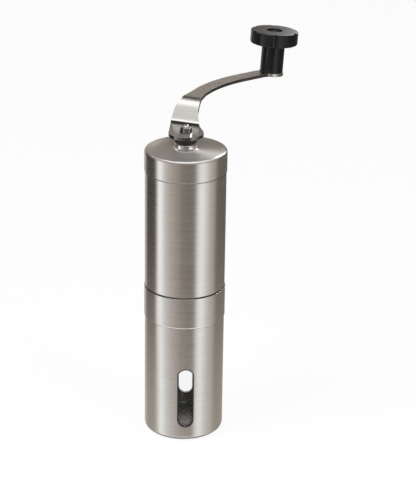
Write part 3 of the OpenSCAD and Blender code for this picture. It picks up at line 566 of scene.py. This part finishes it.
def turned_tree():
    """A profile with rounded corners swept round the axis."""
    tree = Tree("turned_shell", **{"Steps": int, "Corner Steps": int})
    line = tree.add("GeometryNodeMeshToCurve", values={"Mesh": tree.given("Geometry")})
    corner = tree.add("GeometryNodeInputNamedAttribute", {"data_type": "FLOAT"}, {"Name": "round"})
    rounded = tree.add("GeometryNodeFilletCurve", {"mode": "POLY"}, {
        "Curve": line, "Radius": corner, "Count": tree.given("Corner Steps"), "Limit Radius": True})
    profile = tree.add("GeometryNodeTransform", values={
        "Geometry": rounded, "Rotation": (math.pi / 2, 0, 0), "Translation": (-PATH_RADIUS * MM, 0, 0)})
    path = tree.add("GeometryNodeCurvePrimitiveCircle", values={
        "Resolution": tree.given("Steps"), "Radius": PATH_RADIUS * MM})
    return tree.close(tree.add("GeometryNodeCurveToMesh", values={
        "Curve": path, "Profile Curve": profile}))


def turned_mesh(name, corners, closed, finish):
    """Shell turned from (radius, height, rounding) corners in millimetres."""
    line = bpy.data.meshes.new(name + "_profile")
    count = len(corners)
    edges = [(i, (i + 1) % count) for i in range(count if closed else count - 1)]
    line.from_pydata([(radius * MM, 0, height * MM) for radius, height, _ in corners], edges, [])
    rounding = line.attributes.new("round", "FLOAT", "POINT")
    rounding.data.foreach_set("value", [reach * MM for _, _, reach in corners])
    return turn_outwards(TURNED.grow(name, line, **{
        "Steps": TURN_STEPS, "Corner Steps": CORNER_STEPS, "Material": FINISHES[finish]}))


def slot_outline(inset):
    """Points of a window slot, narrowed by an inset, as (across, up) in millimetres."""
    reach = SLOT_WIDTH / 2 - inset
    low, high = SLOT_FOOT + SLOT_WIDTH / 2, SLOT_FOOT + SLOT_HEIGHT - SLOT_WIDTH / 2
    points = []
    for middle, start in ((high, 0.0), (low, math.pi)):
        for step in range(SLOT_STEPS + 1):
            angle = start + math.pi * step / SLOT_STEPS
            points.append((reach * math.cos(angle), middle + reach * math.sin(angle)))
    return points


def slot_cutter(turn):
    """Bar of the slot's outline from the axis outwards."""
    build = bmesh.new()
    ring = [build.verts.new((across * MM, 0, up * MM)) for across, up in slot_outline(0)]
    face = build.faces.new(ring)
    moved = bmesh.ops.extrude_face_region(build, geom=[face])["geom"]
    bmesh.ops.translate(build, vec=(0, -2 * CUP_RADIUS * MM, 0),
                        verts=[item for item in moved if isinstance(item, bmesh.types.BMVert)])
    bmesh.ops.recalc_face_normals(build, faces=build.faces)
    bmesh.ops.rotate(build, verts=build.verts, matrix=Matrix.Rotation(turn, 3, "Z"))
    return add_mesh("slot_cutter", mesh_from(build, "slot_cutter"))


def cup_shell():
    inner = CUP_RADIUS - STEEL_WALL
    band = CUP_RADIUS + BAND_STEP
    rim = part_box("grounds_cup")[1][2] / MM
    step_top = BAND_FOOT + BAND_STEP
    mesh = turned_mesh("cup_shell", [
        (0, 0, 0), (CUP_RADIUS, 0, CUP_FOOT_ROUND), (CUP_RADIUS, BAND_FOOT, EDGE_ROUND),
        (band, step_top, EDGE_ROUND), (band, rim, EDGE_ROUND), (band - STEEL_WALL, rim, EDGE_ROUND),
        (band - STEEL_WALL, step_top + BAND_STEP, INSIDE_ROUND), (inner, step_top, INSIDE_ROUND),
        (inner, CUP_FLOOR, CUP_FOOT_ROUND - STEEL_WALL), (0, CUP_FLOOR, 0)], False, "cup_steel")
    holder = add_mesh("cup_shell", mesh)
    cutters = [slot_cutter(turn) for turn in (0, REAR_TURN)]
    for cutter in cutters:
        cut = holder.modifiers.new("slot", "BOOLEAN")
        cut.object, cut.solver = cutter, "EXACT"
    edge = holder.modifiers.new("slot_edge", "BEVEL")
    edge.limit_method, edge.angle_limit = "ANGLE", math.radians(OUTLINE_DEG)
    edge.width, edge.segments = SLOT_EDGE_ROUND * MM, EDGE_STEPS
    mesh = bake(holder, "cup_shell")
    for cutter in cutters:
        bpy.data.objects.remove(cutter)
    shade_and_place("cup_shell", mesh, "grounds_cup", "cup_steel")


def tube_shell():
    low, high = (corner[2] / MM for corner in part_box("hopper_tube"))
    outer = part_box("hopper_tube")[1][0] / MM
    inner, neck_inner = outer - STEEL_WALL, NECK_RADIUS - STEEL_WALL
    neck_foot = TUBE_SHOULDER - STEEL_WALL
    mesh = turned_mesh("tube_shell", [
        (inner, low, EDGE_ROUND), (outer, low, EDGE_ROUND), (outer, TUBE_SHOULDER, SEAM_ROUND),
        (NECK_RADIUS, TUBE_SHOULDER, NECK_ROUND), (NECK_RADIUS, high, EDGE_ROUND),
        (neck_inner, high, EDGE_ROUND), (neck_inner, neck_foot, INSIDE_ROUND),
        (inner, neck_foot - inner + neck_inner, INSIDE_ROUND)], True, "shell_steel")
    shade_and_place("tube_shell", mesh, "hopper_tube", "shell_steel")


def lid_cap():
    low, high = (corner[2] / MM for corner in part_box("lid_shell"))
    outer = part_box("lid_shell")[1][0] / MM
    inner = outer - LID_WALL
    mesh = turned_mesh("lid_cap", [
        (inner, low, FINE_ROUND), (outer, low, SEAM_ROUND), (outer, high, LID_ROUND),
        (LID_HOLE, high, FINE_ROUND), (LID_HOLE, high - LID_TOP, FINE_ROUND),
        (inner, high - LID_TOP, INSIDE_ROUND)], True, "lid_steel")
    shade_and_place("lid_cap", mesh, "lid_shell", "lid_steel")


def merged_copy(node, reach=JOIN_REACH):
    """Closed working copy of a CAD node's mesh, with its flat faces joined."""
    build = bmesh.new()
    build.from_mesh(nodes[node].data)
    bmesh.ops.remove_doubles(build, verts=build.verts, dist=reach * MM)
    bmesh.ops.dissolve_limit(build, angle_limit=math.radians(FLAT_DEG), verts=build.verts,
                             edges=build.edges)
    return build


def round_edges(build, chosen, reach, steps=EDGE_STEPS):
    bmesh.ops.bevel(build, geom=chosen, offset=reach * MM, offset_type="OFFSET", segments=steps,
                    profile=0.5, affect="EDGES", clamp_overlap=True)


def sharp_edges(build, least):
    return [edge for edge in build.edges
            if len(edge.link_faces) == 2 and edge.calc_face_angle() > math.radians(least)]


def softened_piece(name, node, finish, reach, merge=JOIN_REACH):
    """CAD shape with rounded edges, in place of its node."""
    build = merged_copy(node, merge)
    round_edges(build, sharp_edges(build, CREASE_DEG), reach)
    shade_and_place(name, mesh_from(build, name), node, finish)


def soft_folds(build):
    """Turns the sharp folds of a bent sheet into wide bends, on its upper and its lower face."""
    folds = []
    for edge in sharp_edges(build, FOLD_DEG):
        if all(abs(face.normal.z) > SHEET_FACE for face in edge.link_faces):
            middle = (edge.verts[0].co + edge.verts[1].co) / 2
            line = edge.verts[1].co - edge.verts[0].co
            along = Vector((line.y, -line.x, 0)).normalized()
            first, second = sorted(edge.link_faces,
                                   key=lambda face: along.dot(face.calc_center_median()))
            slopes = [-face.normal.dot(along) / face.normal.z for face in (first, second)]
            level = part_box("crank_arm")[0][2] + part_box("crank_arm")[1][2]
            reach = (HEAD_BEND if middle.z > level / 2 else FOOT_BEND) * MM
            folds.append((middle, along, slopes[1] - slopes[0], reach, first.normal.z > 0))
    for middle, along, _, reach, _ in folds:
        for step in range(-BEND_STEPS, BEND_STEPS + 1):
            bmesh.ops.bisect_plane(build, geom=build.verts[:] + build.edges[:] + build.faces[:],
                                   plane_co=middle + along * (reach * step / BEND_STEPS), plane_no=along)
    build.normal_update()
    lifts = []
    for vert in build.verts:
        for middle, along, change, reach, upper in folds:
            away = abs(along.dot(vert.co - middle))
            near = (vert.co - middle).length < FOLD_HALF_LENGTH * MM
            side = 1 if upper else -1
            same = any(side * face.normal.z > SHEET_FACE for face in vert.link_faces)
            if away < reach and near and same:
                lifts.append((vert, change * (reach - away) ** 2 / (4 * reach)))
    for vert, lift in lifts:
        vert.co.z += lift
    build.normal_update()


def crank_plate():
    """Bent strip: wide bends across it and fine rounding along its outline."""
    build = merged_copy("crank_arm")
    soft_folds(build)
    round_edges(build, sharp_edges(build, OUTLINE_DEG), EDGE_ROUND)
    mesh = mesh_from(build, "crank_plate")
    pin_low, pin_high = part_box("knob_pin")
    pin = (Vector(pin_low) + Vector(pin_high)).to_2d() / 2
    # Darkness of the cut edges, partly painted shade; near the knob's pin mostly left out as a painted
    # highlight
    cut = mesh.attributes.new("cut_edge", "FLOAT", "FACE")
    for face in mesh.polygons:
        on_pad = (face.center.to_2d() - pin).length < PAD_REACH * MM
        shade = PAD_EDGE_SHADE if on_pad else 1.0
        cut.data[face.index].value = shade if abs(face.normal.z) < CUT_FACE else 0.0
    shade_and_place("crank_plate", mesh, "crank_arm", "crank_steel")


def domed_nut():
    """Cap nut with well rounded corners on its hexagon."""
    build = merged_copy("cap_nut")
    lines = [(edge, edge.verts[0].co - edge.verts[1].co) for edge in sharp_edges(build, CREASE_DEG)]
    upright = [edge for edge, line in lines if abs(line.z) > UPRIGHT_SHARE * line.length]
    round_edges(build, upright, NUT_CORNER, NUT_CORNER_STEPS)
    round_edges(build, sharp_edges(build, CREASE_DEG), NUT_EDGE)
    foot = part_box("cap_nut")[0][2]
    for vert in build.verts:
        rise = min(1.0, (vert.co.z - foot) / (NUT_HEX * MM))
        vert.co.xy *= 1 - NUT_TAPER * rise
    shade_and_place("domed_nut", mesh_from(build, "domed_nut"), "cap_nut", "nut_shaded_chrome")


def gasket_tree():
    """A rounded strip swept along a closed line, deep towards the axis."""
    tree = Tree("gasket_strip", **{"Width": float, "Depth": float, "Corner": float})
    line = tree.add("GeometryNodeMeshToCurve", values={"Mesh": tree.given("Geometry")})
    outward = tree.add("GeometryNodeInputNamedAttribute", {"data_type": "FLOAT_VECTOR"}, {
        "Name": "outward"})
    facing = tree.add("GeometryNodeSetCurveNormal", {"mode": "FREE"}, {"Curve": line, "Normal": outward})
    section = tree.add("GeometryNodeCurvePrimitiveQuadrilateral", values={
        "Width": tree.given("Depth"), "Height": tree.given("Width")})
    rounded = tree.add("GeometryNodeFilletCurve", {"mode": "POLY"}, {
        "Curve": section, "Radius": tree.given("Corner"), "Count": GASKET_CORNER_STEPS,
        "Limit Radius": True})
    return tree.close(tree.add("GeometryNodeCurveToMesh", values={
        "Curve": facing, "Profile Curve": rounded}))


def gasket_strip(name, node, turn):
    middle = CUP_RADIUS + GASKET_PROUD - GASKET_DEPTH / 2
    points = [Vector((across, -math.sqrt(middle ** 2 - across ** 2), up))
              for across, up in slot_outline(GASKET_WIDTH / 2)]
    line = bpy.data.meshes.new(name + "_line")
    count = len(points)
    line.from_pydata([point * MM for point in points], [(i, (i + 1) % count) for i in range(count)], [])
    facing = line.attributes.new("outward", "FLOAT_VECTOR", "POINT")
    facing.data.foreach_set("vector", count * [0.0, -1.0, 0.0])
    mesh = turn_outwards(GASKET.grow(name, line, Width=GASKET_WIDTH * MM, Depth=GASKET_DEPTH * MM,
                                     Corner=GASKET_CORNER * MM, Material=FINISHES["rubber"]))
    mesh.transform(Matrix.Rotation(turn, 4, "Z"))
    place_piece(name, mesh, node)


def spring_tree():
    """Round wire on a helix."""
    tree = Tree("wound_spring", **{
        "Turns": float, "Coil Radius": float, "Height": float, "Wire Radius": float})
    helix = tree.add("GeometryNodeCurveSpiral", values={
        "Resolution": SPRING_STEPS, "Rotations": tree.given("Turns"), "Height": tree.given("Height"),
        "Start Radius": tree.given("Coil Radius"), "End Radius": tree.given("Coil Radius")})
    section = tree.add("GeometryNodeCurvePrimitiveCircle", values={
        "Resolution": WIRE_STEPS, "Radius": tree.given("Wire Radius")})
    return tree.close(tree.add("GeometryNodeCurveToMesh", values={
        "Curve": helix, "Profile Curve": section, "Fill Caps": True}))


def wound_spring():
    low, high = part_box("pressure_spring")
    wire = SPRING_WIRE * MM
    mesh = turn_outwards(spring_tree().grow("wound_spring", bpy.data.meshes.new("spring_seed"), **{
        "Turns": SPRING_TURNS, "Coil Radius": high[0] - wire / 2, "Height": high[2] - low[2] - wire,
        "Wire Radius": wire / 2, "Material": FINISHES["chrome"]}))
    mesh.transform(Matrix.Translation((0, 0, low[2] + wire / 2)))
    place_piece("wound_spring", mesh, "pressure_spring", "burr")


def set_camera():
    data = bpy.data.cameras.new("camera")
    data.lens = LENS_MM
    data.clip_start, data.clip_end = 0.05, 20.0
    camera = bpy.data.objects.new("camera", data)
    turn = Matrix((CAMERA_RIGHT, CAMERA_UP, CAMERA_BACK)).transposed().to_4x4()
    camera.matrix_world = Matrix.Translation(CAMERA_PLACE) @ turn
    scene.collection.objects.link(camera)
    scene.camera = camera


def seen_ray(graph):
    """1 for rays that show the backdrop: straight, in a mirror or through a pane."""
    ray = {name: graph.add("ShaderNodeLightPath", out=name)
           for name in ("Is Camera Ray", "Is Glossy Ray", "Is Transmission Ray")}
    first = ray["Is Camera Ray"].math("MAXIMUM", ray["Is Camera Ray"], ray["Is Glossy Ray"])
    return first.math("MAXIMUM", first, ray["Is Transmission Ray"])


def set_world(ambient):
    world = bpy.data.worlds.new("studio")
    world.use_nodes = True
    scene.world = world
    graph = Graph(world.node_tree)
    background = world.node_tree.nodes["Background"]
    background.inputs["Color"].default_value = rgb(1, 1, 1)
    graph.feed(background.inputs["Strength"], seen_ray(graph) * (1.0 - ambient) + ambient)


def add_floor():
    mesh = bpy.data.meshes.new("floor")
    signs = ((-1, -1), (1, -1), (1, 1), (-1, 1))
    corners = [(x * FLOOR_HALF, y * FLOOR_HALF, -FLOOR_DROP) for x, y in signs]
    mesh.from_pydata(corners, [], [(0, 1, 2, 3)])
    paper = Finish("floor_paper", roughness=0.9, base_color=rgb(0.88, 0.88, 0.87))
    glow = paper.add("ShaderNodeEmission", values={"Color": rgb(1, 1, 1), "Strength": 1.0})
    mixed = paper.add("ShaderNodeMixShader", values={
        0: seen_ray(paper) * FLOOR_GLOW, 1: Signal(paper, paper.shader.outputs[0]), 2: glow})
    paper.feed(paper.tree.nodes["Material Output"].inputs["Surface"], mixed)
    mesh.materials.append(paper.material)
    floor = add_mesh("floor", mesh)
    floor.visible_glossy = False


def add_tent():
    """Light tent: panels and cards that only mirror-like rays see, as bright as their direction says."""
    build = bmesh.new()
    bmesh.ops.create_cone(build, cap_ends=True, segments=TENT_SEGMENTS, radius1=TENT_RADIUS,
                          radius2=TENT_RADIUS, depth=TENT_TOP - TENT_FOOT,
                          matrix=Matrix.Translation((0, 0, (TENT_TOP + TENT_FOOT) / 2)))
    mesh = mesh_from(build, "light_tent")
    cloth = Finish("tent_panels")
    at = cloth.add("ShaderNodeTexCoord", out="Object")
    x, y, z = (cloth.add("ShaderNodeSeparateXYZ", values={"Vector": at}, out=axis) for axis in "XYZ")
    turn = x.math("ARCTAN2", x, y * -1.0) - CAMERA_TURN
    share = turn.math("FRACT", turn / (2 * math.pi) + 0.5)
    upper, lower = (cloth.add("ShaderNodeValToRGB", {"stops": [
        ((panel[0] + 180) / 360, rgb(*3 * [panel[row] / TENT_BRIGHTEST])) for panel in TENT_PANELS
    ]}, {"Fac": share}) for row in (1, 2))
    near_floor = cloth.window(z, *FLOOR_ZONE)
    level = (upper * (1 - near_floor) + lower * near_floor) * TENT_BRIGHTEST
    above_floor = cloth.window(z, *UNDER_ZONE)
    level = level * above_floor + (1 - above_floor) * TENT_UNDER
    under_ceiling = cloth.window(z, *WALL_ZONE)
    in_front = cloth.window(share.math("ABSOLUTE", share - 0.5), *FRONT_ZONE)
    screen = cloth.between(cloth.window(z, *SCREEN_ZONE), TENT_SHADE, TENT_SCREEN)
    behind = cloth.between(cloth.window(z, *BACK_ZONE), TENT_CEILING, TENT_BACK_TOP)
    ceiling = in_front * screen + (1 - in_front) * behind
    level = level * under_ceiling + (1 - under_ceiling) * ceiling
    for angle, height, wide, tall, added in TENT_CARDS:
        side, up = (share - (angle + 180) / 360) * (2 * math.pi * TENT_RADIUS), z - height
        across = cloth.window(side.math("ABSOLUTE", side), wide, CARD_CORE * wide)
        level = level + across * cloth.window(up.math("ABSOLUTE", up), tall, CARD_CORE * tall) * added
    roof = cloth.window(z, *ROOF_ZONE)
    dark_roof = (cloth.window(y, *DARK_ROOF_FRONT)
                 * cloth.window(x.math("ABSOLUTE", x), *DARK_ROOF_SIDE))
    lit_roof = cloth.between(dark_roof, TENT_ROOF, TENT_BACK_TOP)
    level = level * (1 - roof) + roof * lit_roof
    # The dim parts of the room are warmer than the lamps
    dim = cloth.window(level, *DIM_ZONE)
    colour = cloth.add("ShaderNodeCombineColor", values={
        name: level * (dim * change + 1) for name, change in zip(("Red", "Green", "Blue"), DIM_TINT)})
    glow = cloth.add("ShaderNodeEmission", values={"Color": colour, "Strength": 1.0})
    cloth.feed(cloth.tree.nodes["Material Output"].inputs["Surface"], glow)
    mesh.materials.append(cloth.material)
    tent = add_mesh("light_tent", mesh)
    for sight in ("camera", "diffuse", "transmission", "shadow", "volume_scatter"):
        setattr(tent, "visible_" + sight, False)


def add_lamp(name, turn_deg, lift_deg, away, size, power):
    """Soft box that points at the middle of the object; mirrors see the tent instead of it."""
    turn, lift = math.radians(turn_deg) + CAMERA_TURN, math.radians(lift_deg)
    outward = Vector((math.sin(turn) * math.cos(lift), -math.cos(turn) * math.cos(lift), math.sin(lift)))
    data = bpy.data.lights.new(name, "AREA")
    data.shape, data.size, data.energy = "DISK", size, power
    lamp = bpy.data.objects.new(name, data)
    facing = outward.to_track_quat("Z", "Y").to_matrix().to_4x4()
    lamp.matrix_world = Matrix.Translation(Vector(LAMP_AIM) + outward * away) @ facing
    lamp.visible_glossy = False
    scene.collection.objects.link(lamp)


TURNED = turned_tree()
GASKET = gasket_tree()
dress_cad_nodes()
cup_shell()
tube_shell()
lid_cap()
crank_plate()
softened_piece("round_collar", "lid_bush", "chrome", COLLAR_ROUND)
softened_piece("black_sleeve", "socket_sleeve", "housing_black", SLEEVE_ROUND)
domed_nut()
softened_piece("scalloped_knob", "grip_knob", "knob_black", KNOB_ROUND, KNOB_JOIN_REACH)
gasket_strip("front_gasket_strip", "front_gasket", 0)
gasket_strip("rear_gasket_strip", "rear_gasket", REAR_TURN)
wound_spring()
set_camera()
set_world(AMBIENT)
add_floor()
add_tent()
for lamp_name, lamp_values in LAMPS.items():
    add_lamp(lamp_name, *lamp_values)
scene.view_settings.view_transform = "Standard"
